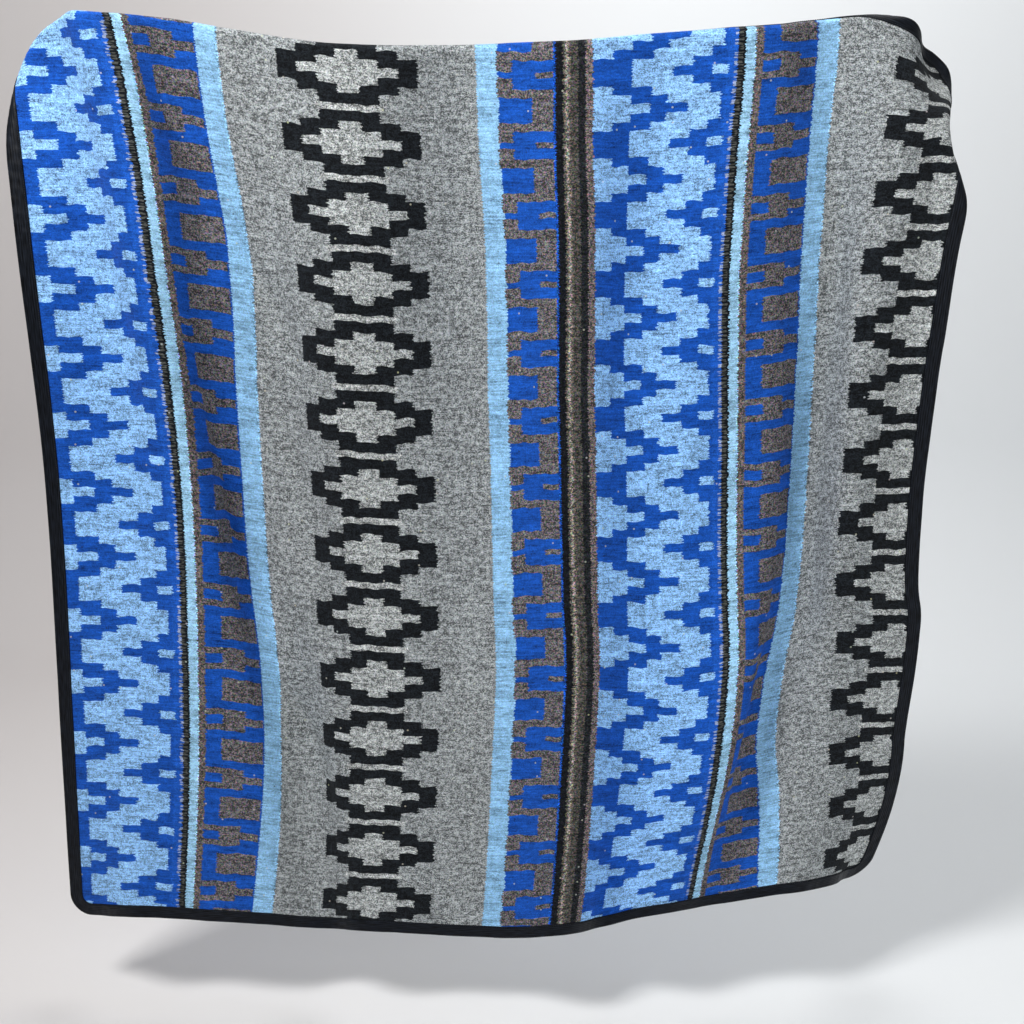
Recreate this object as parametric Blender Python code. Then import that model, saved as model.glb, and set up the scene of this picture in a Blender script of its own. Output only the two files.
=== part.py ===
"""A woven blanket with a bound edge, held up by its top edge so that it hangs face on.

The cloth is one sheet. Its form is worked out from flat places on the cut cloth: u metres across
from the left edge and v metres down from the top edge. X is to the right, Y away from the viewer
and Z up. The origin is at the top of the fold along the top edge, in the middle.
"""

import bpy
import numpy as np

# The cut cloth, and the tape that binds its edge
CLOTH_WIDTH = 1.834
CLOTH_LENGTH = 1.787
CLOTH_THICKNESS = 0.003
CORNER_RADIUS = 0.045
TAPE_WIDTH = 0.025
TAPE_THICKNESS = 0.001
GAP = 0.0007

# Distances down the cloth at which the tables below give their values
DOWN = (0.0, 0.45, 0.90, 1.35, 1.787)

# The top of the fold at the middle, in the frame of the tables: it becomes the origin
TOP_MIDDLE = (0.0, 0.042, 0.006)

# Where the left edge hangs, as X at each distance down
LEFT_EDGE = (-0.910, -0.865, -0.867, -0.890, -0.925)

# Folds: name, half width, then u of the middle and how far forward it stands, at each distance down
FOLDS = (
    ("left edge", 0.21, (0.0, 0.0, 0.0, 0.0, 0.0), (-0.040, 0.040, 0.005, -0.020, -0.070)),
    ("left ridge", 0.14, (0.235, 0.245, 0.265, 0.265, 0.265), (0.060, 0.075, 0.035, 0.010, -0.020)),
    ("left high valley", 0.12, (0.31, 0.45, 0.52, 0.56, 0.60), (-0.015, -0.020, -0.040, -0.020, -0.020)),
    ("left low valley", 0.12, (0.33, 0.36, 0.405, 0.48, 0.54), (0.010, 0.0, -0.055, -0.060, -0.035)),
    ("diamond ridge", 0.17, (0.65, 0.64, 0.64, 0.64, 0.65), (0.0, 0.040, 0.005, 0.005, 0.020)),
    ("middle valley", 0.17, (0.90, 0.90, 0.90, 0.90, 0.90), (-0.045, -0.035, -0.025, 0.010, 0.010)),
    ("middle ridge", 0.15, (1.07, 1.07, 1.07, 1.07, 1.07), (0.0, 0.030, 0.040, 0.065, 0.060)),
    ("zigzag valley", 0.14, (1.23, 1.23, 1.24, 1.23, 1.20), (-0.010, -0.030, -0.015, 0.005, -0.020)),
    ("stripe ridge", 0.13, (1.39, 1.385, 1.39, 1.37, 1.29), (0.015, 0.015, -0.025, 0.035, 0.035)),
    ("right valley", 0.14, (1.56, 1.58, 1.56, 1.54, 1.50), (-0.035, -0.040, -0.080, -0.065, -0.020)),
    ("right ridge", 0.13, (1.69, 1.68, 1.67, 1.69, 1.70), (0.040, 0.060, 0.040, -0.020, -0.045)),
    ("right edge", 0.16, (1.834, 1.834, 1.834, 1.834, 1.834), (0.025, 0.035, 0.0, -0.050, -0.140)),
)

# How high the cloth hangs: name, u, then heights over the eye at each distance down, as they look
# from an eye this far in front of the cloth and this far below its top
EYE_DISTANCE = 2.02
EYE_DROP = 0.396
HANG = (
    ("left edge", 0.0, (0.510, 0.066, -0.380, -0.832, -1.264)),
    ("first zigzag", 0.205, (0.510, 0.064, -0.383, -0.838, -1.272)),
    ("diamonds", 0.672, (0.446, 0.013, -0.438, -0.889, -1.302)),
    ("dark stripes", 1.080, (0.440, 0.012, -0.432, -0.889, -1.311)),
    ("second zigzag", 1.320, (0.450, 0.015, -0.423, -0.888, -1.262)),
    ("cut diamonds", 1.661, (0.462, 0.051, -0.383, -0.809, -1.205)),
    ("right edge", 1.834, (0.462, 0.055, -0.378, -0.800, -1.175)),
)

# The fold along the top: how far down the cut cloth it lies, at distances across
CREST_ACROSS = (0.25, 0.672, 1.32, 1.50, 1.60, 1.66, 1.71, 1.76, 1.834)
CREST_DOWN = (0.070, 0.063, 0.041, 0.027, 0.023, 0.015, 0.004, -0.010, -0.035)
ROLL_RADIUS = 0.011
CORNER_ROLL = 0.004
# The top left corner is turned behind along a line that falls away steeply at the edge
CORNER_TURN = 0.265
CORNER_REACH = 0.043
CORNER_LEAN = 0.5
# The top right corner is free: it drops and falls back
EAR_WIDTH = 0.20
EAR_LENGTH = 0.26
EAR_BACK = 0.10
EAR_DROP = 0.06
# Below it the right edge curls behind
CURL_FROM = -0.06
CURL_TO = 0.44
CURL_WIDTH = 0.050
CURL_RADIUS = 0.018

# Grid lines: in the tape's width, beside it, in the top fold and in the body
TAPE_CELLS = 3
BESIDE_TAPE = (0.035, 0.045, 0.065, 0.090)
FOLD_ROWS = 7
BODY_COLUMNS = 36
BODY_ROWS = 34
ROW_CROWDING = 1.15


def through(x, xs, ys):
    """A smooth curve through the points (xs, ys): cubic pieces that share the slope at each point.

    Beyond the first and the last point it runs on straight.
    """
    xs = np.asarray(xs, float)
    ys = np.asarray(ys, float)
    slope = np.gradient(ys, xs)
    inside = np.clip(x, xs[0], xs[-1])
    k = np.clip(np.searchsorted(xs, inside, side="right") - 1, 0, len(xs) - 2)
    step = xs[k + 1] - xs[k]
    t = (inside - xs[k]) / step
    rise = 3 * t**2 - 2 * t**3
    enter = (t**3 - 2 * t**2 + t) * step * slope[k]
    leave = (t**3 - t**2) * step * slope[k + 1]
    straight = (x - inside) * np.where(x < xs[0], slope[0], slope[-1])
    return (1 - rise) * ys[k] + rise * ys[k + 1] + enter + leave + straight


def hump(t):
    """1 at t = 0, falling as a cosine to 0 at t = -1 and at t = 1."""
    return (1 + np.cos(np.pi * np.clip(t, -1, 1))) / 2


def ear(u, v):
    """1 at the top right corner, falling to 0 across and down."""
    return hump((CLOTH_WIDTH - u) / EAR_WIDTH) * hump(np.maximum(v, 0) / EAR_LENGTH)


def depth(u, v):
    """Y of the cloth: each fold is a hump across it, whose place and height change down the cloth."""
    y = EAR_BACK * ear(u, v)
    for _, half_width, across, forward in FOLDS:
        t = (u - through(v, DOWN, across)) / half_width
        y = y - through(v, DOWN, forward) * hump(t)
    return y


def height(u, v):
    """Z of the cloth: a smooth curve down each column of the table, joined smoothly across."""
    names_across = np.array([row[1] for row in HANG])
    columns = np.stack([through(v, DOWN, row[2]) for row in HANG])
    slopes = np.gradient(columns, names_across, axis=0)
    k = np.clip(np.searchsorted(names_across, u, side="right") - 1, 0, len(HANG) - 2)
    n = np.arange(len(u))
    step = names_across[k + 1] - names_across[k]
    t = (np.clip(u, 0, CLOTH_WIDTH) - names_across[k]) / step
    rise = 3 * t**2 - 2 * t**3
    enter = (t**3 - 2 * t**2 + t) * step * slopes[k, n]
    leave = (t**3 - t**2) * step * slopes[k + 1, n]
    z = (1 - rise) * columns[k, n] + rise * columns[k + 1, n] + enter + leave
    return (z - EAR_DROP * ear(u, v)) * (1 + depth(u, v) / EYE_DISTANCE) - EYE_DROP


def hanging(u, v, steps=160):
    """Places of flat points on the cloth without its top fold.

    X adds up what each short step across leaves once the folds have taken their depth from it.
    """
    across = np.linspace(0, 1, steps)[None, :] * u[:, None]
    y = depth(across, np.repeat(v[:, None], steps, axis=1))
    step = np.diff(across, axis=1)
    run = np.sqrt(np.maximum(step**2 - np.diff(y, axis=1) ** 2, (0.2 * step) ** 2))
    x = through(v, DOWN, LEFT_EDGE) + run.sum(axis=1) * np.sign(u)
    return np.stack([x, y[:, -1], height(u, v)], axis=1)


def crest(u):
    """How far down the cut cloth the top fold lies: its table, and the turn of the left corner."""
    return through(u, CREST_ACROSS, CREST_DOWN) + CORNER_TURN * np.exp(-u / CORNER_REACH)


def crest_slope(u, nudge=0.002):
    return (crest(u + nudge) - crest(u - nudge)) / (2 * nudge)


def crest_foot(u, v):
    """u of the nearest point of the top fold: a coarse search, then Newton steps."""
    line = np.linspace(-0.05, CLOTH_WIDTH, 300)
    foot = line[((u[:, None] - line) ** 2 + (v[:, None] - crest(line)) ** 2).argmin(axis=1)]
    for _ in range(6):
        slope = crest_slope(foot)
        bend = (crest_slope(foot + 0.002) - crest_slope(foot - 0.002)) / 0.004
        below = v - crest(foot)
        miss = u - foot + below * slope
        foot = foot + np.clip(miss / np.maximum(1 + slope**2 - below * bend, 0.3), -0.01, 0.01)
    return foot


def rolled(beyond, radius):
    """Past a fold by this much of cloth: how far past it still reaches, and how far behind it is."""
    turn = np.clip(beyond / radius, 0, np.pi)
    reach = radius * np.sin(turn) - np.maximum(beyond - np.pi * radius, 0)
    return reach, radius * (1 - np.cos(turn))


def place(u, v):
    """Places of flat points on the hanging cloth, its top and right edges turned behind."""
    # Past the top fold the cloth turns behind, away from its foot on the fold
    foot_u = crest_foot(u, v)
    foot_v = crest(foot_u)
    lean = np.arctan(-crest_slope(foot_u))
    past = np.maximum((foot_u - u) * np.sin(lean) + (foot_v - v) * np.cos(lean), 0)
    reach, behind = rolled(past, ROLL_RADIUS + CORNER_ROLL * hump(foot_u / (3 * CORNER_REACH)))
    lean = np.where(reach > 0, lean, CORNER_LEAN * lean)
    u = np.where(past > 0, foot_u - reach * np.sin(lean), u)
    v = np.where(past > 0, foot_v - reach * np.cos(lean), v)
    # The curl of the right edge, widest half way along its length
    middle = (CURL_FROM + CURL_TO) / 2
    edge = CLOTH_WIDTH - CURL_WIDTH * hump(2 * (v - middle) / (CURL_TO - CURL_FROM))
    side_reach, side_behind = rolled(u - edge, CURL_RADIUS)
    u = np.where(u > edge, edge + side_reach, u)
    # Behind is along the normal of the hanging cloth
    nudge = 0.002
    across = hanging(u + nudge, v) - hanging(u - nudge, v)
    down = hanging(u, v + nudge) - hanging(u, v - nudge)
    back = np.cross(across, down)
    back /= np.linalg.norm(back, axis=1, keepdims=True)
    return hanging(u, v) + (behind + side_behind)[:, None] * back


def flat_grid():
    """u and v of every grid point. The rows of the top fold follow it across the cloth."""
    tape = np.linspace(0, TAPE_WIDTH, TAPE_CELLS + 1)
    side = np.concatenate([tape, BESIDE_TAPE[:-1]])
    body = np.linspace(BESIDE_TAPE[-1], CLOTH_WIDTH - BESIDE_TAPE[-1], BODY_COLUMNS + 1)
    u = np.concatenate([side, body, CLOTH_WIDTH - side[::-1]])
    turn = np.maximum(crest(u), TAPE_WIDTH + 2 * ROLL_RADIUS)[:, None] + ROLL_RADIUS
    low = CLOTH_LENGTH - CORNER_RADIUS
    fold = TAPE_WIDTH + (turn - TAPE_WIDTH) * np.linspace(0, 1, FOLD_ROWS + 1)[1:]
    rows = turn + (low - turn) * np.linspace(0, 1, BODY_ROWS + 1)[1:] ** ROW_CROWDING
    top = np.repeat(tape[None, :], len(u), axis=0)
    v = np.concatenate([top, fold, rows, CLOTH_LENGTH - top[:, ::-1]], axis=1)
    return np.repeat(u[:, None], v.shape[1], axis=1), v


def round_corners(u, v):
    """Pulls the squares at the four corners onto quarter rounds, ring by ring."""
    du = np.maximum(CORNER_RADIUS - u, 0) - np.maximum(u - CLOTH_WIDTH + CORNER_RADIUS, 0)
    dv = np.maximum(CORNER_RADIUS - v, 0) - np.maximum(v - CLOTH_LENGTH + CORNER_RADIUS, 0)
    far = np.maximum(np.hypot(du, dv), 1e-9)
    pull = 1 - np.maximum(np.abs(du), np.abs(dv)) / far
    corner = (du != 0) & (dv != 0)
    return u + np.where(corner, du * pull, 0), v + np.where(corner, dv * pull, 0)


def cells(shape, keep):
    """The grid's cells for which keep is true, each as two triangles, anticlockwise from the front."""
    number = np.arange(shape[0] * shape[1]).reshape(shape)
    a, b = number[:-1, :-1][keep], number[:-1, 1:][keep]
    c, d = number[1:, 1:][keep], number[1:, :-1][keep]
    return np.concatenate([np.stack([a, b, c], axis=1), np.stack([a, c, d], axis=1)])


def sheet_points():
    """The cloth's middle surface on the grid, and at each point the mean normal of its triangles."""
    u, v = round_corners(*flat_grid())
    points = place(u.ravel(), v.ravel()) - TOP_MIDDLE
    triangles = cells(u.shape, np.ones((u.shape[0] - 1, u.shape[1] - 1), bool))
    a, b, c = points[triangles].transpose(1, 0, 2)
    face_normals = np.cross(b - a, c - a)
    face_normals /= np.linalg.norm(face_normals, axis=1, keepdims=True)
    normals = np.zeros_like(points)
    for corner in range(3):
        np.add.at(normals, triangles[:, corner], face_normals)
    normals /= np.linalg.norm(normals, axis=1, keepdims=True)
    return points.reshape(*u.shape, 3), normals.reshape(*u.shape, 3)


def ring(shape, inside):
    """Numbers of the grid points round the ring that lies this many lines in, anticlockwise."""
    i0, j0 = inside, inside
    i1, j1 = shape[0] - 1 - inside, shape[1] - 1 - inside
    number = np.arange(shape[0] * shape[1]).reshape(shape)
    sides = (number[i0, j0:j1], number[i0:i1, j1], number[i1, j1:j0:-1], number[i1:i0:-1, j0])
    return np.concatenate(sides)


def strip(first, second):
    """Triangles that join two rings of points, facing out when first is in front, anticlockwise."""
    first_next, second_next = np.roll(first, -1), np.roll(second, -1)
    lower = np.stack([first_next, first, second], axis=1)
    upper = np.stack([first_next, second, second_next], axis=1)
    return np.concatenate([lower, upper])


def turned(triangles):
    return triangles[:, ::-1]


def make_object(name, points, triangles, colour, roughness):
    """One solid with its own material; points that no triangle uses are left out."""
    used, index = np.unique(triangles, return_inverse=True)
    mesh = bpy.data.meshes.new(name)
    mesh.from_pydata(points[used].tolist(), [], index.reshape(-1, 3).tolist())
    mesh.shade_smooth()
    material = bpy.data.materials.new(name)
    material.use_nodes = True
    shader = material.node_tree.nodes["Principled BSDF"]
    shader.inputs["Base Color"].default_value = (*colour, 1)
    shader.inputs["Roughness"].default_value = roughness
    shader.inputs["Metallic"].default_value = 0
    mesh.materials.append(material)
    solid = bpy.data.objects.new(name, mesh)
    bpy.context.scene.collection.objects.link(solid)
    return solid


def blanket(points, normals):
    """The woven cloth: the middle surface moved half its thickness to each side, closed at the rim."""
    shape = points.shape[:2]
    half = normals * CLOTH_THICKNESS / 2
    count = shape[0] * shape[1]
    everywhere = np.ones((shape[0] - 1, shape[1] - 1), bool)
    front = cells(shape, everywhere)
    rim = ring(shape, 0)
    triangles = np.concatenate([front, turned(front) + count, strip(rim, rim + count)])
    layers = np.concatenate([(points + half).reshape(-1, 3), (points - half).reshape(-1, 3)])
    return make_object("blanket", layers, triangles, (0.20, 0.30, 0.50), 0.95)


def edge_binding(points, normals):
    """The tape folded over the whole edge: a U section that clears the cloth on both sides."""
    shape = points.shape[:2]
    inner = CLOTH_THICKNESS / 2 + GAP
    outer = inner + TAPE_THICKNESS
    outward = np.zeros_like(points)
    flat = outward.reshape(-1, 3)
    all_points = points.reshape(-1, 3)
    rim = ring(shape, 0)
    to_left, to_right = np.roll(all_points[rim], 1, axis=0), np.roll(all_points[rim], -1, axis=0)
    along = to_right - to_left
    side = np.cross(along, normals.reshape(-1, 3)[rim])
    flat[rim] = side / np.linalg.norm(side, axis=1, keepdims=True)
    layers = []
    for offset in (outer, inner, -inner, -outer):
        beyond = abs(offset) - CLOTH_THICKNESS / 2
        layers.append((points + offset * normals + beyond * outward).reshape(-1, 3))
    keep = np.ones((shape[0] - 1, shape[1] - 1), bool)
    keep[TAPE_CELLS:-TAPE_CELLS, TAPE_CELLS:-TAPE_CELLS] = False
    band = cells(shape, keep)
    lip = ring(shape, TAPE_CELLS)
    n = shape[0] * shape[1]
    triangles = np.concatenate([
        band,
        turned(band) + n,
        band + 2 * n,
        turned(band) + 3 * n,
        strip(rim, rim + 3 * n),
        turned(strip(rim + n, rim + 2 * n)),
        turned(strip(lip, lip + n)),
        turned(strip(lip + 2 * n, lip + 3 * n)),
    ])
    return make_object("edge_binding", np.concatenate(layers), triangles, (0.012, 0.013, 0.02), 0.5)


for old in list(bpy.data.objects):
    bpy.data.objects.remove(old)
middle, normals = sheet_points()
blanket(middle, normals)
edge_binding(middle, normals)
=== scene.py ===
"""The looks of the bound, woven blanket: cloth, binding tape and stitches, on a plain backdrop."""

import math

import bpy
import numpy as np
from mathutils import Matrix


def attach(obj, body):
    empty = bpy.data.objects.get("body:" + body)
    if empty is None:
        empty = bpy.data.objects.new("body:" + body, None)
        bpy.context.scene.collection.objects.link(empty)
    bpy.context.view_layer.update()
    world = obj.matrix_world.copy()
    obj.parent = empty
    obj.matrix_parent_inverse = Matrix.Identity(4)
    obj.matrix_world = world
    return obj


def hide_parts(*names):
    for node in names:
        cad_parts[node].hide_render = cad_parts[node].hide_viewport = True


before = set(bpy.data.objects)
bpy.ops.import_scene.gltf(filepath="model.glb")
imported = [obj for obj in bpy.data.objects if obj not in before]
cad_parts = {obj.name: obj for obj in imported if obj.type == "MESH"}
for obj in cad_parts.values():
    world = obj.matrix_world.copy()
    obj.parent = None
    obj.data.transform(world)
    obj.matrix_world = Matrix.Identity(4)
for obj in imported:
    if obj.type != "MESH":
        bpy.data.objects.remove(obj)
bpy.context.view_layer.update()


# Woven blanket cloth: one piece of brushed acrylic and cotton yarn, woven in stripes and stepped
# motifs, about 3 mm thick. Flat places on it are u across and v down, in metres. It hangs by its
# top edge, which is folded behind, and its folds are humps across it that shift down its length.
WIDTH, LENGTH, HALF_THICKNESS, ROUND = 1.834, 1.787, 0.0015, 0.045
# The middle of the top fold before it is moved to the origin
TOP_MIDDLE = (0.0, 0.042, 0.006)
# The tables below give their values at these distances down; the left edge's are its X
DOWN = (0.0, 0.45, 0.90, 1.35, 1.787)
LEFT_EDGE = (-0.910, -0.865, -0.867, -0.890, -0.925)
# Each fold: half width, then its place across and how far it comes forward, at each distance down
FOLDS = (
    ("left edge", 0.21, (0.0, 0.0, 0.0, 0.0, 0.0), (-0.040, 0.040, 0.005, -0.020, -0.070)),
    ("left ridge", 0.14, (0.235, 0.245, 0.265, 0.265, 0.265), (0.060, 0.075, 0.035, 0.010, -0.020)),
    (
        "left high valley", 0.12,
        (0.31, 0.45, 0.52, 0.56, 0.60), (-0.015, -0.020, -0.040, -0.020, -0.020),
    ),
    ("left low valley", 0.12, (0.33, 0.36, 0.405, 0.48, 0.54), (0.010, 0.0, -0.055, -0.060, -0.035)),
    ("diamond ridge", 0.17, (0.65, 0.64, 0.64, 0.64, 0.65), (0.0, 0.040, 0.005, 0.005, 0.020)),
    ("middle valley", 0.17, (0.90, 0.90, 0.90, 0.90, 0.90), (-0.045, -0.035, -0.025, 0.010, 0.010)),
    ("middle ridge", 0.15, (1.07, 1.07, 1.07, 1.07, 1.07), (0.0, 0.030, 0.040, 0.065, 0.060)),
    ("zigzag valley", 0.14, (1.23, 1.23, 1.24, 1.23, 1.20), (-0.010, -0.030, -0.015, 0.005, -0.020)),
    ("stripe ridge", 0.13, (1.39, 1.385, 1.39, 1.37, 1.29), (0.015, 0.015, -0.025, 0.035, 0.035)),
    ("right valley", 0.14, (1.56, 1.58, 1.56, 1.54, 1.50), (-0.035, -0.040, -0.080, -0.065, -0.020)),
    ("right ridge", 0.13, (1.69, 1.68, 1.67, 1.69, 1.70), (0.012, 0.052, 0.040, -0.020, -0.045)),
    ("right edge", 0.16, (1.834, 1.834, 1.834, 1.834, 1.834), (0.0, 0.035, 0.0, -0.050, -0.140)),
)
# Distance across, then heights above the camera at each distance down, for cloth CAMERA_AWAY from
# it. Where a fold lies farther back they grow in proportion, so that it still looks as high.
CAMERA_AWAY, CAMERA_LEVEL = 2.02, 0.396
HANG = (
    (0.0, (0.510, 0.066, -0.380, -0.832, -1.264)),
    (0.205, (0.510, 0.064, -0.383, -0.838, -1.272)),
    (0.672, (0.446, 0.013, -0.438, -0.889, -1.302)),
    (1.080, (0.440, 0.012, -0.432, -0.889, -1.311)),
    (1.320, (0.450, 0.015, -0.423, -0.888, -1.262)),
    (1.661, (0.462, 0.051, -0.383, -0.809, -1.205)),
    (1.834, (0.462, 0.055, -0.378, -0.800, -1.175)),
)
# The top fold: how far down the cut cloth it lies, at these distances across
CREST_ACROSS = (0.25, 0.672, 1.32, 1.56, 1.62, 1.66, 1.70, 1.76, 1.834)
CREST_DOWN = (0.070, 0.063, 0.043, 0.035, 0.028, 0.017, -0.002, -0.035, -0.060)
# Radius of that fold and what the turned left corner adds; how far down and across the turn runs
ROLL_RADIUS, CORNER_ROLL = 0.011, 0.004
CORNER_TURN, CORNER_REACH, CORNER_LEAN = 0.265, 0.043, 0.5
# The top right corner leans back and drops, and the edge below it curls behind
EAR_BACK, EAR_BACK_WIDTH, EAR_DROP, EAR_DROP_WIDTH, EAR_LENGTH = 0.10, 0.20, 0.085, 0.25, 0.26
CURL_FROM, CURL_TO, CURL_WIDTH, CURL_RADIUS = -0.03, 0.44, 0.066, 0.018
# Small creases, as soft troughs: from u, v to u, v, half width, depth
CREASES = (
    (0.24, 0.06, 0.46, 0.50, 0.040, 0.018),
    (0.38, 0.32, 0.57, 0.74, 0.032, 0.010),
    (0.25, 0.44, 0.45, 1.28, 0.046, 0.022),
    (0.39, 1.12, 0.60, 1.58, 0.036, 0.014),
    (0.44, 0.55, 0.57, 1.08, 0.034, 0.007),
    (0.13, 0.20, 0.20, 0.90, 0.028, 0.005),
    (1.42, 0.95, 1.47, 1.50, 0.024, 0.008),
    (1.50, 0.60, 1.55, 1.10, 0.028, 0.008),
    (1.57, 0.06, 1.60, 0.62, 0.028, 0.009),
    (1.70, 0.16, 1.80, 0.46, 0.022, 0.006),
    (1.58, 1.20, 1.66, 1.62, 0.028, 0.007),
    (0.86, 0.10, 0.84, 0.70, 0.030, 0.003),
    (1.18, 1.30, 1.24, 1.70, 0.028, 0.006),
)


def through(x, xs, ys):
    """A smooth curve through points: cubic pieces that share slopes, straight beyond the ends."""
    xs = np.asarray(xs, float)
    ys = np.asarray(ys, float)
    slope = np.gradient(ys, xs)
    inside = np.clip(x, xs[0], xs[-1])
    k = np.clip(np.searchsorted(xs, inside, side="right") - 1, 0, len(xs) - 2)
    step = xs[k + 1] - xs[k]
    t = (inside - xs[k]) / step
    rise = 3 * t**2 - 2 * t**3
    enter = (t**3 - 2 * t**2 + t) * step * slope[k]
    leave = (t**3 - t**2) * step * slope[k + 1]
    straight = (x - inside) * np.where(x < xs[0], slope[0], slope[-1])
    return (1 - rise) * ys[k] + rise * ys[k + 1] + enter + leave + straight


def hump(t):
    """1 at t = 0, falling as a cosine to 0 at t = -1 and at t = 1."""
    return (1 + np.cos(np.pi * np.clip(t, -1, 1))) / 2


def ear(u, v, width):
    """1 at the top right corner, falling as cosines across and down to 0."""
    return hump((WIDTH - u) / width) * hump(np.maximum(v, 0) / EAR_LENGTH)


def main_depth(u, v):
    """Y of the cloth from its main folds, as humps across it."""
    y = EAR_BACK * ear(u, v, EAR_BACK_WIDTH)
    for _, half_width, across, forward in FOLDS:
        y = y - through(v, DOWN, forward) * hump((u - through(v, DOWN, across)) / half_width)
    return y


def small_depth(u, v):
    """Y of the small creases and of a low, uneven ripple."""
    y = 0.0012 * np.sin(u * 33 + 1.7 * np.sin(v * 5.1)) * np.sin(v * 7.3 + 2 * np.sin(u * 4.3))
    y += 0.0006 * np.sin(u * 71 + 2.3 * np.sin(v * 9.7)) * np.sin(v * 17 + 1.9 * np.sin(u * 13))
    for u0, v0, u1, v1, half_width, deep in CREASES:
        du, dv = u1 - u0, v1 - v0
        length = math.hypot(du, dv)
        along = ((u - u0) * du + (v - v0) * dv) / length**2
        aside = ((u - u0) * dv - (v - v0) * du) / length
        aside = aside + 0.012 * np.sin(along * 5 + u0 * 20)
        y += deep * hump(aside / half_width) * hump(2 * along - 1)
    return y


def running_width():
    """X from the left edge on a grid of u and v: what each step leaves once the folds take depth."""
    us, vs = np.linspace(0, WIDTH, 460), np.linspace(-0.1, LENGTH + 0.05, 160)
    y = main_depth(us[:, None] + 0 * vs, vs + 0 * us[:, None])
    step = us[1] - us[0]
    run = np.sqrt(np.maximum(step**2 - np.diff(y, axis=0) ** 2, (0.2 * step) ** 2))
    return us, vs, np.concatenate([0 * vs[None, :], np.cumsum(run, axis=0)])


RUN_U, RUN_V, RUN_X = running_width()
NUDGE = 0.002


def hanging(u, v):
    """Places of flat points on the cloth without its top fold: X runs along the folds from the
    left edge, Y comes from the folds and creases, and Z from the table of heights."""
    inside = np.clip(u, 0, WIDTH)
    a = np.clip(inside / (RUN_U[1] - RUN_U[0]), 0, len(RUN_U) - 1.001)
    b = np.clip((v - RUN_V[0]) / (RUN_V[1] - RUN_V[0]), 0, len(RUN_V) - 1.001)
    i, j = a.astype(int), b.astype(int)
    s, t = a - i, b - j
    low = RUN_X[i, j] * (1 - s) + RUN_X[i + 1, j] * s
    high = RUN_X[i, j + 1] * (1 - s) + RUN_X[i + 1, j + 1] * s
    x = through(v, DOWN, LEFT_EDGE) + low * (1 - t) + high * t + u - inside
    y = main_depth(u, v)
    heights = np.stack([through(v, DOWN, row[1]) for row in HANG])
    across = np.array([row[0] for row in HANG])
    slopes = np.gradient(heights, across, axis=0)
    k = np.clip(np.searchsorted(across, u, side="right") - 1, 0, len(HANG) - 2)
    n = np.arange(len(u))
    step = across[k + 1] - across[k]
    t = (inside - across[k]) / step
    rise = 3 * t**2 - 2 * t**3
    z = (1 - rise) * heights[k, n] + rise * heights[k + 1, n]
    z += (t**3 - 2 * t**2 + t) * step * slopes[k, n] + (t**3 - t**2) * step * slopes[k + 1, n]
    z = (z - EAR_DROP * ear(u, v, EAR_DROP_WIDTH)) * (1 + y / CAMERA_AWAY) - CAMERA_LEVEL
    return np.stack([x, y + small_depth(u, v), z], axis=1)


def crest(u):
    """How far down the cut cloth the top fold lies, with the turn of the left corner."""
    return through(u, CREST_ACROSS, CREST_DOWN) + CORNER_TURN * np.exp(-u / CORNER_REACH)


def crest_slope(u):
    """How steeply the top fold runs down, from its rise over two nudges."""
    return (crest(u + NUDGE) - crest(u - NUDGE)) / (2 * NUDGE)


def crest_foot(u, v):
    """u of the nearest point of the top fold: a coarse search, then Newton steps."""
    line = np.linspace(-0.05, WIDTH, 300)
    foot = line[((u[:, None] - line) ** 2 + (v[:, None] - crest(line)) ** 2).argmin(axis=1)]
    for _ in range(6):
        slope = crest_slope(foot)
        bend = (crest_slope(foot + NUDGE) - crest_slope(foot - NUDGE)) / (2 * NUDGE)
        below = v - crest(foot)
        miss = u - foot + below * slope
        foot = foot + np.clip(miss / np.maximum(1 + slope**2 - below * bend, 0.3), -0.01, 0.01)
    return foot


def rolled(beyond, radius):
    """Past a fold by this much cloth: how far past it still reaches, and how far behind it is. The
    cloth goes half round a circle and then straight back."""
    turn = np.clip(beyond / radius, 0, np.pi)
    reach = radius * np.sin(turn) - np.maximum(beyond - np.pi * radius, 0)
    return reach, radius * (1 - np.cos(turn))


def place(u, v):
    """Places of flat points on the hanging cloth. Beyond the top fold or the right curl, a point
    slides back along the cloth and is moved behind it, square to the cloth."""
    foot_u = crest_foot(u, v)
    foot_v = crest(foot_u)
    lean = np.arctan(-crest_slope(foot_u))
    past = np.maximum((foot_u - u) * np.sin(lean) + (foot_v - v) * np.cos(lean), 0)
    reach, behind = rolled(past, ROLL_RADIUS + CORNER_ROLL * hump(foot_u / (3 * CORNER_REACH)))
    lean = np.where(reach > 0, lean, CORNER_LEAN * lean)
    u = np.where(past > 0, foot_u - reach * np.sin(lean), u)
    v = np.where(past > 0, foot_v - reach * np.cos(lean), v)
    middle = (CURL_FROM + CURL_TO) / 2
    edge = WIDTH - CURL_WIDTH * hump(2 * (v - middle) / (CURL_TO - CURL_FROM))
    side_reach, side_behind = rolled(u - edge, CURL_RADIUS)
    u = np.where(u > edge, edge + side_reach, u)
    back = np.cross(
        hanging(u + NUDGE, v) - hanging(u - NUDGE, v),
        hanging(u, v + NUDGE) - hanging(u, v - NUDGE),
    )
    back /= np.linalg.norm(back, axis=1, keepdims=True)
    return hanging(u, v) + (behind + side_behind)[:, None] * back - TOP_MIDDLE


def unit(vectors):
    """Vectors divided by their lengths."""
    return vectors / np.maximum(np.linalg.norm(vectors, axis=-1, keepdims=True), 1e-12)


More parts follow.
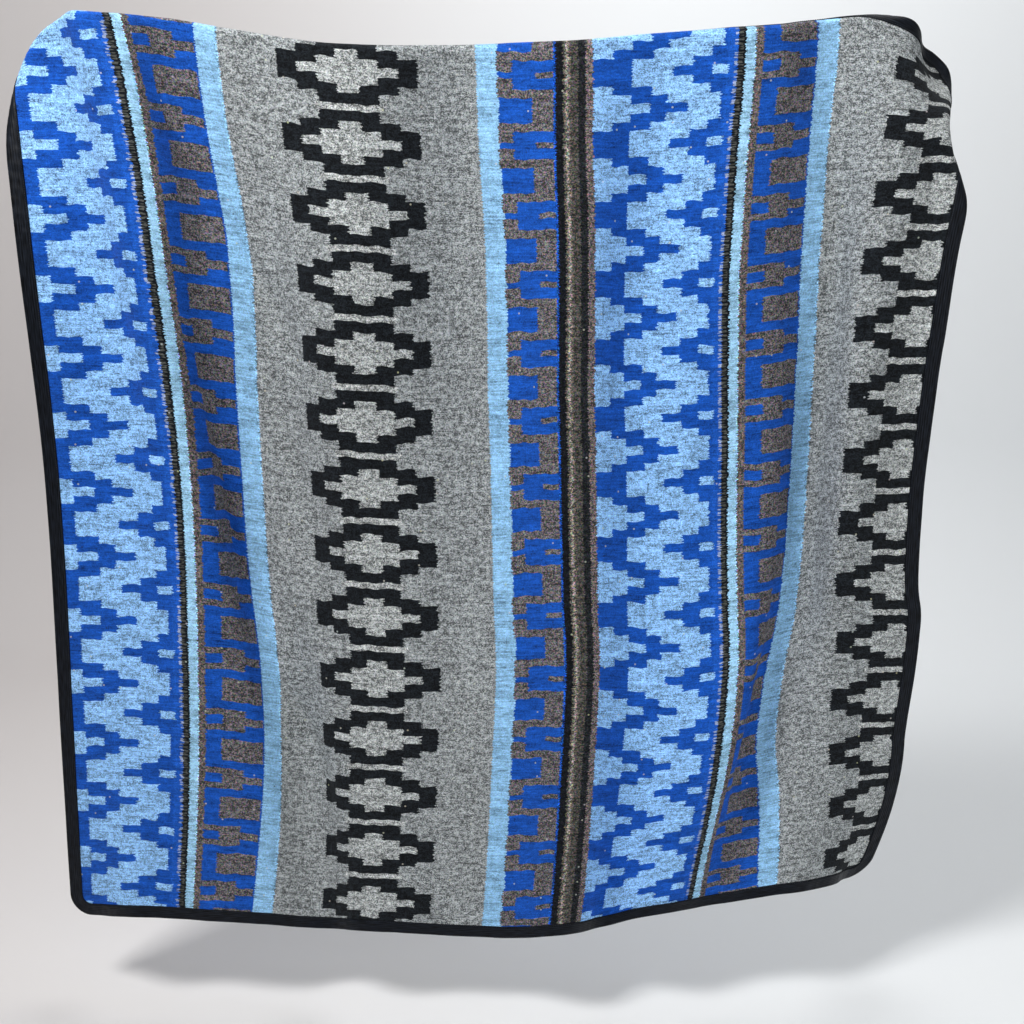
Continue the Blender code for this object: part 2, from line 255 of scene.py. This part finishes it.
# The woven chart repeats every 1.114 m across and every 124.5 mm down; rows are centred on motifs
REPEAT_ACROSS, REPEAT_DOWN, FIRST_ROW = 1.114, 0.1245, 0.100
BLUE, PALE, SKY = "#1650AE", "#8BBBEC", "#8EBEE3"
GREY, BLACK, BROWN, NAVY = "#8E9394", "#171B1F", "#5F5E60", "#12161B"
STRIPES = (  # start across, colour
    (0.000, BLUE), (0.232, "#1C58BA"), (0.251, NAVY), (0.2615, "#9CCBEA"), (0.281, "#625D5B"),
    (0.294, BLUE), (0.406, SKY), (0.445, GREY), (0.898, SKY), (0.937, BLUE),
    (1.045, NAVY), (1.0585, "#57564F"), (1.0635, "#8E8B82"), (1.0670, "#5C5953"), (1.073, "#474743"),
    (1.087, "#1F2326"), (1.100, "#6B6564"),
)
# Where the bands that bear motifs start and end across, and the middle of the diamonds
ZIGZAG_END, FIRST_BLUE, GREY_BAND, SECOND_BLUE = 0.245, (0.290, 0.406), (0.445, 0.898), (0.937, 1.045)
BROWN_LINE, DARK_GROUP, DIAMOND_MIDDLE = (0.281, 0.294), (1.045, 1.114), 0.6715
BLACK_LINE, BLACK_LINE_SIDE = (0.2525, 0.2615), (0.2470, 0.2525)
# Small blocks beside the zigzag, the pale gap between two diamonds, and where a brown block starts
BLOCK, BLOCK_HALF = (0.211, 0.238), 0.008
GAP_FROM, GAP_HALF = 0.0565, 0.060
BROWN_FROM = (0.039, 0.036)
# Each chart: distance from the row's middle, then where the colour starts or ends across
DIAMOND_OUTER = ((0, 0.122), (0.024, 0.088), (0.038, 0.053), (0.056, 0))
DIAMOND_INNER = ((0, 0.087), (0.008, 0.052), (0.022, 0.019), (0.037, 0))
ZIGZAG_LEFT = ((0, 0.070), (0.0235, 0.108), (0.039, 0.135), (0.054, 0.171))
ZIGZAG_RIGHT = ((0, 0.143), (0.008, 0.178), (0.023, 0.209), (0.039, 0.229))
BORDER_TRIANGLE = ((0, 0), (0.0235, 0.035), (0.0385, 0.070), (0.0535, 0.105))
RING_FROM = ((0, 0.038), (0.0095, 0))
RING_TO = ((0, 0.2), (0.008, 0.080), (0.022, 0))
NOTCH_FROM = ((0, 0.076), (0.005, 0), (0.040, 0.069))
NOTCH_TO = ((0, 0.2), (0.005, 0.030), (0.025, 0.2))
# A colour ramp's 0 to 1 stands for 1/15 m down, which is a little more than half a row
RAMP_PER_METRE = 15
# The heavy weft yarns lie 2.4 mm apart
WEFT_RIB = 0.0024


def linear(hex_colour):
    """An sRGB hex colour as linear red, green, blue and alpha."""
    parts = [int(hex_colour[i:i + 2], 16) / 255 for i in (1, 3, 5)]
    return (*[c / 12.92 if c <= 0.04045 else ((c + 0.055) / 1.055) ** 2.4 for c in parts], 1)


def new_material(name):
    """A new material, its node tree and its main shader."""
    material = bpy.data.materials.new(name)
    material.use_nodes = True
    return material, material.node_tree, material.node_tree.nodes["Principled BSDF"]


def add(tree, kind, *inputs, **settings):
    """Adds a node. A kind in capitals is an operation of the Math node. Its inputs, in order or as
    one dict by name, are values, sockets, or nodes that stand for their first output in use."""
    node = tree.nodes.new("ShaderNodeMath" if kind.isupper() else "ShaderNode" + kind)
    if kind.isupper():
        node.operation = kind
    for name, value in settings.items():
        setattr(node, name, value)
    in_use = [socket for socket in node.inputs if socket.enabled]
    by_name = inputs and isinstance(inputs[0], dict)
    for where, value in inputs[0].items() if by_name else enumerate(inputs):
        socket = node.inputs[where] if by_name else in_use[where]
        if isinstance(value, bpy.types.Node):
            value = next(output for output in value.outputs if output.enabled)
        if isinstance(value, bpy.types.NodeSocket):
            tree.links.new(value, socket)
        else:
            socket.default_value = value
    return node


def within(tree, x, low, high):
    """1 where x is between low and high, else 0."""
    above = add(tree, "GREATER_THAN", x, low)
    return add(tree, "MULTIPLY", above, add(tree, "LESS_THAN", x, high))


def chart(tree, distance, rows):
    """A stepped curve: the value of the last row whose start the distance has passed."""
    ramp = add(tree, "ValToRGB", add(tree, "MULTIPLY", distance, RAMP_PER_METRE))
    ramp.color_ramp.interpolation = "CONSTANT"
    stops = ramp.color_ramp.elements
    while len(stops) < len(rows):
        stops.new(0.5)
    while len(stops) > len(rows):
        stops.remove(stops[-1])
    for stop, (start, value) in zip(stops, rows):
        stop.position = start * RAMP_PER_METRE
        stop.color = (value, value, value, 1)
    return ramp


def noise(tree, u, v, scale_u, scale_v, detail=0.0):
    """Noise with its own number of grains to the metre each way; -0.5 to 0.5, mostly near 0."""
    across = add(tree, "MULTIPLY", u, scale_u)
    down = add(tree, "MULTIPLY", v, scale_v)
    where = add(tree, "CombineXYZ", across, down)
    grains = {"Vector": where, "Scale": 1.0, "Detail": detail}
    made = add(tree, "TexNoise", grains, noise_dimensions="2D")
    return add(tree, "SUBTRACT", made, 0.5), made.outputs[1]


def woven_cloth():
    """Heathered yarn, matt and a little fuzzy, so it takes light softly and shows no gloss. Stripe
    colours go by u, motifs by charts of u and of the distance from a row's middle, then fibres."""
    material, tree, shader = new_material("heathered weave, weft 2.4 mm")
    uv = add(tree, "UVMap", uv_map="flat")
    u, v, _ = add(tree, "SeparateXYZ", uv).outputs
    # The weft runs across, so the edges of a motif are ragged sideways, yarn by yarn
    jag = noise(tree, u, v, 22, 420)[0]
    wander = noise(tree, u, v, 45, 6)[0]
    # The left band is cut into its zigzag, so its motifs start a little inside the edge
    cut_in = add(tree, "MAXIMUM", add(tree, "SUBTRACT", ZIGZAG_END, u), 0.0)
    cut_in = add(tree, "MULTIPLY", cut_in, 0.11)
    ragged_u = add(tree, "ADD", add(tree, "ADD", u, cut_in), add(tree, "MULTIPLY", jag, 0.009))
    ragged_v = add(tree, "ADD", v, add(tree, "MULTIPLY", wander, 0.006))
    w = add(tree, "MODULO", ragged_u, REPEAT_ACROSS)
    clean_u = add(tree, "ADD", u, add(tree, "MULTIPLY", jag, 0.007))
    clean_w = add(tree, "MODULO", clean_u, REPEAT_ACROSS)
    row = add(tree, "DIVIDE", add(tree, "SUBTRACT", ragged_v, FIRST_ROW), REPEAT_DOWN)
    d = add(tree, "MULTIPLY", add(tree, "PINGPONG", row, 0.5), REPEAT_DOWN)

    # Pale zigzag, with its border triangles and small blocks
    pale = within(tree, w, chart(tree, d, ZIGZAG_LEFT), chart(tree, d, ZIGZAG_RIGHT))
    pale = add(tree, "MAXIMUM", pale, add(tree, "LESS_THAN", w, chart(tree, d, BORDER_TRIANGLE)))
    block = add(tree, "MULTIPLY", within(tree, w, *BLOCK), add(tree, "LESS_THAN", d, BLOCK_HALF))
    pale = add(tree, "MAXIMUM", pale, block)
    pale = add(tree, "MULTIPLY", pale, add(tree, "LESS_THAN", clean_w, ZIGZAG_END))
    # Black stepped diamonds on the grey, lighter inside and in the gap between two
    aside = add(tree, "ABSOLUTE", add(tree, "SUBTRACT", w, DIAMOND_MIDDLE))
    hole = add(tree, "LESS_THAN", aside, chart(tree, d, DIAMOND_INNER))
    black = add(tree, "LESS_THAN", aside, chart(tree, d, DIAMOND_OUTER))
    black = add(tree, "SUBTRACT", black, hole)
    gap = add(tree, "GREATER_THAN", d, GAP_FROM)
    gap = add(tree, "MULTIPLY", gap, add(tree, "LESS_THAN", aside, GAP_HALF))
    # Brown rings and blocks on the first blue band, brown round blue notches on the second
    first = add(tree, "SUBTRACT", w, FIRST_BLUE[0])
    brown = within(tree, first, chart(tree, d, RING_FROM), chart(tree, d, RING_TO))
    block = add(tree, "GREATER_THAN", d, BROWN_FROM[0])
    block = add(tree, "MULTIPLY", block, add(tree, "GREATER_THAN", first, BROWN_FROM[1]))
    brown = add(tree, "MAXIMUM", brown, block)
    brown = add(tree, "MULTIPLY", brown, within(tree, clean_w, *FIRST_BLUE))
    second = add(tree, "SUBTRACT", w, SECOND_BLUE[0])
    notch = within(tree, second, chart(tree, d, NOTCH_FROM), chart(tree, d, NOTCH_TO))
    notch = add(tree, "MULTIPLY", notch, within(tree, clean_w, *SECOND_BLUE))
    brown = add(tree, "ADD", brown, notch)

    stripes = add(tree, "ValToRGB", add(tree, "DIVIDE", clean_w, REPEAT_ACROSS))
    stripes.color_ramp.interpolation = "CONSTANT"
    stops = stripes.color_ramp.elements
    for start, colour in STRIPES:
        stops.new(start / REPEAT_ACROSS).color = linear(colour)
    stops.remove(stops[-1])
    stops.remove(stops[0])

    colour = add(tree, "Mix", pale, stripes, linear(PALE), data_type="RGBA")
    colour = add(tree, "Mix", black, colour, linear(BLACK), data_type="RGBA")
    pale_hole, pale_gap = add(tree, "MULTIPLY", hole, 0.45), add(tree, "MULTIPLY", gap, 0.6)
    colour = add(tree, "Mix", pale_hole, colour, linear("#B4B8B6"), data_type="RGBA")
    colour = add(tree, "Mix", pale_gap, colour, linear("#B4B7B5"), data_type="RGBA")
    colour = add(tree, "Mix", brown, colour, linear(BROWN), data_type="RGBA")
    # Weft yarns that show through beside the narrow black stripe and in it
    weft = noise(tree, u, v, 35, 260)[0]
    show = add(tree, "MULTIPLY", add(tree, "ADD", weft, 0.04), 9.0)
    show = add(tree, "Clamp", show)
    beside = add(tree, "MULTIPLY", show, within(tree, clean_w, *BLACK_LINE_SIDE))
    inside = add(tree, "MULTIPLY", show, within(tree, clean_w, *BLACK_LINE))
    beside, inside = add(tree, "MULTIPLY", beside, 0.55), add(tree, "MULTIPLY", inside, 0.5)
    colour = add(tree, "Mix", beside, colour, linear("#C4CCD2"), data_type="RGBA")
    colour = add(tree, "Mix", inside, colour, linear("#6E7069"), data_type="RGBA")

    # Heather: light and dark fibres in clumps of about 4, 2 and 9 mm, drawn coarser than real ones
    # so that they show; most in the brown and grey, least in the plain sky
    coarse, tint = noise(tree, u, v, 240, 300, 1.0)
    fine = noise(tree, u, v, 470, 560)[0]
    blotch = noise(tree, u, v, 95, 130)[0]
    fibre = add(tree, "MULTIPLY", blotch, 0.3)
    fibre = add(tree, "MULTIPLY_ADD", fine, 0.45, fibre)
    fibre = add(tree, "MULTIPLY_ADD", coarse, 0.5, fibre)
    streak = noise(tree, u, v, 30, 330)[0]
    patch = noise(tree, u, v, 17, 60)[0]
    dark_group = within(tree, clean_w, *DARK_GROUP)
    mottled = add(tree, "MAXIMUM", dark_group, within(tree, clean_w, *BROWN_LINE))
    mottled = add(tree, "MAXIMUM", brown, mottled)
    strength = add(tree, "MULTIPLY_ADD", within(tree, clean_w, *GREY_BAND), 3.2, 1.6)
    strength = add(tree, "MULTIPLY_ADD", pale, 1.2, strength)
    strength = add(tree, "MULTIPLY_ADD", mottled, 4.0, strength)
    light = add(tree, "MULTIPLY_ADD", fibre, strength, 1.0)
    light = add(tree, "MULTIPLY_ADD", streak, 0.7, light)
    light = add(tree, "MULTIPLY_ADD", patch, 0.55, light)
    light = add(tree, "Clamp", light, 0.28, 2.3)
    shade = add(tree, "CombineXYZ", light, light, light)
    colour = add(tree, "Mix", 1.0, colour, shade, data_type="RGBA", blend_type="MULTIPLY")
    # Fibres of many colours spun into the brown yarn
    gain, less = (3.0, 2.6, 3.0), (-0.48, -0.30, -0.48)
    tint = add(tree, "VectorMath", tint, gain, less, operation="MULTIPLY_ADD")
    tinted = add(tree, "Mix", 1.0, colour, tint, data_type="RGBA", blend_type="MULTIPLY")
    share = add(tree, "MULTIPLY_ADD", mottled, 0.5, 0.08)
    colour = add(tree, "Mix", share, colour, tinted, data_type="RGBA")
    # A few burrs and flecks of other yarn
    cell = add(tree, "TexVoronoi", {"Vector": uv, "Scale": 30.0}, voronoi_dimensions="2D")
    keep = add(tree, "SeparateColor", cell.outputs["Color"])
    fleck = add(tree, "LESS_THAN", cell.outputs["Distance"], 0.055)
    fleck = add(tree, "MULTIPLY", fleck, add(tree, "GREATER_THAN", keep.outputs[0], 0.7))
    bright = add(tree, "GREATER_THAN", keep.outputs[1], 0.6)
    coloured = add(tree, "Mix", 0.35, linear("#C9CDC8"), cell.outputs["Color"], data_type="RGBA")
    fleck_colour = add(tree, "Mix", bright, linear("#202428"), coloured, data_type="RGBA")
    share = add(tree, "MULTIPLY", fleck, 0.5)
    colour = add(tree, "Mix", share, colour, fleck_colour, data_type="RGBA")
    tree.links.new(colour.outputs[2], shader.inputs["Base Color"])

    # Relief: weft ribs 2.4 mm apart under a soft nap
    rib = add(tree, "SINE", add(tree, "MULTIPLY", v, 2 * math.pi / WEFT_RIB))
    relief = add(tree, "MULTIPLY_ADD", rib, 0.12, fibre)
    bump = add(tree, "Bump", {"Height": relief, "Strength": 0.6, "Distance": 0.0014})
    tree.links.new(bump.outputs[0], shader.inputs["Normal"])
    shader.inputs["Roughness"].default_value = 0.95
    shader.inputs["Specular IOR Level"].default_value = 0.1
    shader.inputs["Sheen Weight"].default_value = 0.03
    shader.inputs["Sheen Roughness"].default_value = 0.6
    return material


def new_mesh(name, points, faces, material):
    """A smooth mesh object from arrays of points and of corner numbers."""
    mesh = bpy.data.meshes.new(name)
    mesh.from_pydata(points.tolist(), [], faces.tolist())
    mesh.shade_smooth()
    mesh.materials.append(material)
    made = bpy.data.objects.new(name, mesh)
    bpy.context.scene.collection.objects.link(made)
    return made


def store_uv(made, name, values):
    """Keeps two numbers for each point of a mesh as a UV map."""
    corners = np.empty(len(made.data.loops), np.int32)
    made.data.loops.foreach_get("vertex_index", corners)
    layer = made.data.uv_layers.new(name=name)
    layer.data.foreach_set("uv", values[corners].astype(np.float32).ravel())


def blanket_sheet():
    """The cloth as a closed sheet. Its grid lines lie closer at the edges that fold, and are drawn in
    round the cut corners; each face lies half the thickness out, and a rim joins the two."""
    left, right, top = 0.10, 1.74, 0.12
    u = np.concatenate([
        np.linspace(0, left, 26)[:-1],
        np.linspace(left, right, 152)[:-1],
        np.linspace(right, WIDTH, 20),
    ])
    v = np.concatenate([np.linspace(0, top, 31)[:-1], np.linspace(top, LENGTH, 165)])
    u, v = np.meshgrid(u, v, indexing="ij")
    du = np.maximum(ROUND - u, 0) - np.maximum(u - WIDTH + ROUND, 0)
    dv = np.maximum(ROUND - v, 0) - np.maximum(v - LENGTH + ROUND, 0)
    pull = 1 - np.maximum(np.abs(du), np.abs(dv)) / np.maximum(np.hypot(du, dv), 1e-9)
    corner = (du != 0) & (dv != 0)
    u, v = u + np.where(corner, du * pull, 0), v + np.where(corner, dv * pull, 0)
    points = place(u.ravel(), v.ravel())
    number = np.arange(u.size).reshape(u.shape)
    front = np.stack([number[:-1, :-1], number[:-1, 1:], number[1:, 1:], number[1:, :-1]], axis=-1)
    front = front.reshape(-1, 4)
    a, b, c, d = points[front].transpose(1, 0, 2)
    face_normals = unit(np.cross(c - a, d - b))
    normals = np.zeros_like(points)
    for k in range(4):
        np.add.at(normals, front[:, k], face_normals)
    normals = unit(normals) * HALF_THICKNESS
    rim = np.concatenate([number[0, :-1], number[:-1, -1], number[-1, :0:-1], number[:0:-1, 0]])
    ahead = np.roll(rim, -1)
    n = len(points)
    sides = np.stack([ahead, rim, rim + n, ahead + n], axis=1)
    made = new_mesh(
        "woven_cloth",
        np.concatenate([points + normals, points - normals]),
        np.concatenate([front, front[:, ::-1] + n, sides]),
        woven_cloth(),
    )
    flat = np.stack([u.ravel(), v.ravel()], axis=1)
    store_uv(made, "flat", np.concatenate([flat, flat]))
    return made


cloth = blanket_sheet()


# Edge binding: black satin tape with fine ribs along it, folded over the whole edge and sewn down.
# A closed strip swept round the edge, from 25 mm in on the front to 25 mm in on the back.
TAPE_WIDTH, TAPE_RIB = 0.025, 0.0042
# Distances of the tape's inner and outer face from the middle of the cloth
TAPE_IN, TAPE_OUT = 0.0017, 0.0026


def edge_path(count):
    """Flat places evenly round the cut edge, clockwise from the top left, the way inwards and the
    distance run: four straight sides with a quarter circle after each."""
    across, down, arc = WIDTH - 2 * ROUND, LENGTH - 2 * ROUND, ROUND * math.pi / 2
    starts = np.cumsum([0, across, arc, down, arc, across, arc, down, arc])
    s = np.linspace(0, starts[-1], count, endpoint=False)
    part = np.clip(np.searchsorted(starts, s, side="right") - 1, 0, 7)
    t = s - starts[part]
    turn = part // 2 + np.where(part % 2 == 1, t / arc, 0)
    angle = turn * math.pi / 2
    inward = np.stack([-np.sin(angle), np.cos(angle)], axis=1)
    far, low = WIDTH - ROUND, LENGTH - ROUND
    centres = np.array([(ROUND, ROUND), (far, ROUND), (far, low), (ROUND, low)])
    ways = np.array([(1, 0), (0, 1), (-1, 0), (0, -1)])
    side = part // 2
    on_side = centres[side] + ways[side] * t[:, None]
    middle = np.where((part % 2 == 0)[:, None], on_side, centres[(side + 1) % 4])
    return middle - inward * ROUND, inward, s


def near_edge(count, insets):
    """Lines round the cloth at these distances in from its edge: points, front normals, the ways
    outwards and along, and the distance run. The normal is square to the last two."""
    edge, inward, s = edge_path(count)
    points = np.stack([place(*(edge + inward * inset).T) for inset in insets], axis=1)
    along = np.roll(points, -1, axis=0) - np.roll(points, 1, axis=0)
    into = np.gradient(points, np.asarray(insets), axis=1)
    return points, unit(np.cross(into, along)), -unit(into), unit(along), s


def satin_tape():
    """Black satin, a little shiny: ribs by the distance across the tape and a grain along it, which
    also make the black colour lighter and darker.
    The ribs are drawn about twice as coarse as real ones, so that they show."""
    material, tree, shader = new_material("ribbed satin tape, rib 4.2 mm")
    uv = add(tree, "UVMap", uv_map="tape")
    along, across, _ = add(tree, "SeparateXYZ", uv).outputs
    grain = noise(tree, along, across, 40, 500, 1.0)[0]
    rib = add(tree, "SINE", add(tree, "MULTIPLY", across, 2 * math.pi / TAPE_RIB))
    # The ribs and the grain along the tape make its black colour lighter and darker
    tape_tone = add(tree, "MULTIPLY_ADD", rib, 0.22, add(tree, "MULTIPLY_ADD", grain, 1.6, 0.42))
    colour = add(tree, "Mix", tape_tone, linear("#020306"), linear("#1B2029"), data_type="RGBA")
    tree.links.new(colour.outputs[2], shader.inputs["Base Color"])
    pucker = noise(tree, along, across, 70, 60)[0]
    relief = add(tree, "ADD", add(tree, "MULTIPLY", rib, 0.25), add(tree, "MULTIPLY", pucker, 2.0))
    bump = add(tree, "Bump", {"Height": relief, "Strength": 0.7, "Distance": 0.0008})
    tree.links.new(bump.outputs[0], shader.inputs["Normal"])
    shader.inputs["Roughness"].default_value = 0.5
    shader.inputs["Specular IOR Level"].default_value = 0.12
    return material


def binding_tape():
    """The tape's section, carried round the edge: flat on the front, half round over the edge, flat
    on the back, first along its outer face and then back along its inner one."""
    insets = (0.0, 0.003, 0.008, 0.014, 0.020, TAPE_WIDTH)
    points, normals, outward, _, s = near_edge(1000, insets)
    rim, up, out = points[:, 0], normals[:, 0], outward[:, 0]
    loop = []
    for radius, order in ((TAPE_OUT, 1), (TAPE_IN, -1)):
        section = [points[:, k] + normals[:, k] * radius for k in (5, 4, 3, 2, 1)]
        for turn in (90, 45, 0, -45, -90):
            a = math.radians(turn)
            section.append(rim + up * radius * math.sin(a) + out * radius * math.cos(a))
        section += [points[:, k] - normals[:, k] * radius for k in (1, 2, 3, 4, 5)]
        loop += section[::order]
    loop = np.stack(loop, axis=1)
    stations, size = loop.shape[:2]
    number = np.arange(stations * size).reshape(stations, size)
    ahead, beside = np.roll(number, -1, axis=0), np.roll(number, -1, axis=1)
    faces = np.stack([number, beside, np.roll(beside, -1, axis=0), ahead], axis=-1).reshape(-1, 4)
    made = new_mesh("binding_tape", loop.reshape(-1, 3), faces, satin_tape())
    across = np.tile([
        0.050, 0.045, 0.039, 0.033, 0.028, 0.027, 0.026, 0.025,
        0.024, 0.023, 0.022, 0.017, 0.011, 0.005, 0.0,
    ], 2)
    store_uv(made, "tape", np.stack([np.repeat(s, size), np.tile(across, stations)], axis=1))
    return made


tape = binding_tape()


# Sewing thread: black polyester, one straight run of stitches near the tape's inner edge. Small
# beads 3 mm long, 4 mm apart, on the front and on the back, that show as a faint, smooth line.
def stitches():
    """A bead at each of 1,780 places round the edge, on both faces: a diamond with a raised middle."""
    points, normals, outward, along, _ = near_edge(1780, (0.0215, 0.0225, 0.0235))
    middle, up, side, way = points[:, 1], normals[:, 1], outward[:, 1], along[:, 1]
    half_length, half_width, raised, sunk = 0.0015, 0.0003, 0.0004, 0.0003
    corners, faces = [], []
    for face in (1, -1):
        base = middle + up * face * TAPE_OUT
        corners += [base + way * half_length, base + side * half_width]
        corners += [base - way * half_length, base - side * half_width]
        corners += [base + up * face * raised, base - up * face * sunk]
    corners = np.stack(corners, axis=1)
    for low in (0, 6):
        ring = [0, 1, 2, 3] if low == 0 else [3, 2, 1, 0]
        for k in range(4):
            faces.append((low + ring[k], low + ring[(k + 1) % 4], low + 4))
            faces.append((low + ring[(k + 1) % 4], low + ring[k], low + 5))
    count = len(middle)
    faces = (np.array(faces)[None] + 12 * np.arange(count)[:, None, None]).reshape(-1, 3)
    material, _, shader = new_material("polyester thread, 0.6 mm")
    shader.inputs["Base Color"].default_value = linear("#2A2F38")
    shader.inputs["Roughness"].default_value = 0.5
    return new_mesh("stitches", corners.reshape(-1, 3), faces, material)


thread = stitches()

for piece in (cloth, tape, thread):
    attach(piece, "root")
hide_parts("blanket")
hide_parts("edge_binding")


# Backdrop: matt seamless paper that curves up from the floor, without gloss; painted shade darkens it
# to the left.
# One swept strip, not part of the object.
def backdrop():
    """A profile in Y and Z, flat, then a quarter circle up to the wall, carried along X."""
    floor, wall, bend = -1.902, 2.8, 0.8
    profile = [(-5.0, floor), (wall - bend, floor)]
    for k in range(1, 13):
        a = k / 12 * math.pi / 2
        profile.append((wall - bend + bend * math.sin(a), floor + bend - bend * math.cos(a)))
    profile.append((wall, 5.0))
    points = np.array([(x, y, z) for x in (-7.0, 7.0) for y, z in profile])
    n = len(profile)
    k = np.arange(n - 1)
    faces = np.stack([k, k + n, k + n + 1, k + 1], axis=1)
    material, tree, shader = new_material("seamless paper")
    x = add(tree, "SeparateXYZ", add(tree, "TexCoord").outputs["Object"])
    # Painted shade: the paper's colour goes from a light grey on the right to a darker, warmer grey on
    # the left
    share = add(tree, "MapRange", x, -1.8, 1.0, interpolation_type="SMOOTHSTEP")
    colour = add(tree, "Mix", share, linear("#D2CDCB"), linear("#E9EBEC"), data_type="RGBA")
    tree.links.new(colour.outputs[2], shader.inputs["Base Color"])
    shader.inputs["Roughness"].default_value = 0.9
    return new_mesh("backdrop", points, faces, material)


backdrop()


# Lights: a soft key from high on the left shows the folds, a weak fill comes from low on the right,
# and a third light brightens the paper behind. The surround is a pale, even daylight.
def soft_light(name, place_at, aim, size, power):
    """A square area light, turned so that it faces its aim."""
    data = bpy.data.lights.new(name, "AREA")
    data.size = size
    data.energy = power
    lamp = bpy.data.objects.new(name, data)
    lamp.location = place_at
    way = np.subtract(aim, place_at)
    lamp.rotation_euler = (
        math.atan2(math.hypot(way[0], way[1]), -way[2]),
        0,
        math.atan2(way[1], way[0]) - math.pi / 2,
    )
    bpy.context.scene.collection.objects.link(lamp)


soft_light("key", (-1.7, -1.8, 2.3), (0, 0, -0.9), 0.9, 142)
soft_light("fill", (2.4, -2.6, -0.4), (0, 0, -0.9), 1.6, 26)
soft_light("wall wash", (0.7, 0.8, 2.8), (0.7, 2.8, -0.4), 2.4, 72)
world = bpy.data.worlds.new("surround")
world.use_nodes = True
world.node_tree.nodes["Background"].inputs[0].default_value = (0.93, 0.96, 1.0, 1)
world.node_tree.nodes["Background"].inputs[1].default_value = 0.22
scene = bpy.context.scene
scene.world = world

# Camera: 2.06 m in front of the cloth and 1.5 m above the floor, tilted down 12 degrees, so that
# the cloth fills the frame as in the photograph.
camera_data = bpy.data.cameras.new("camera")
camera_data.lens = 38.67
camera_data.sensor_width = 36
camera = bpy.data.objects.new("camera", camera_data)
camera.location = (0, -2.062, -0.402)
camera.rotation_euler = (math.radians(78), 0, 0)
scene.collection.objects.link(camera)
scene.camera = camera

scene.view_settings.view_transform = "Standard"
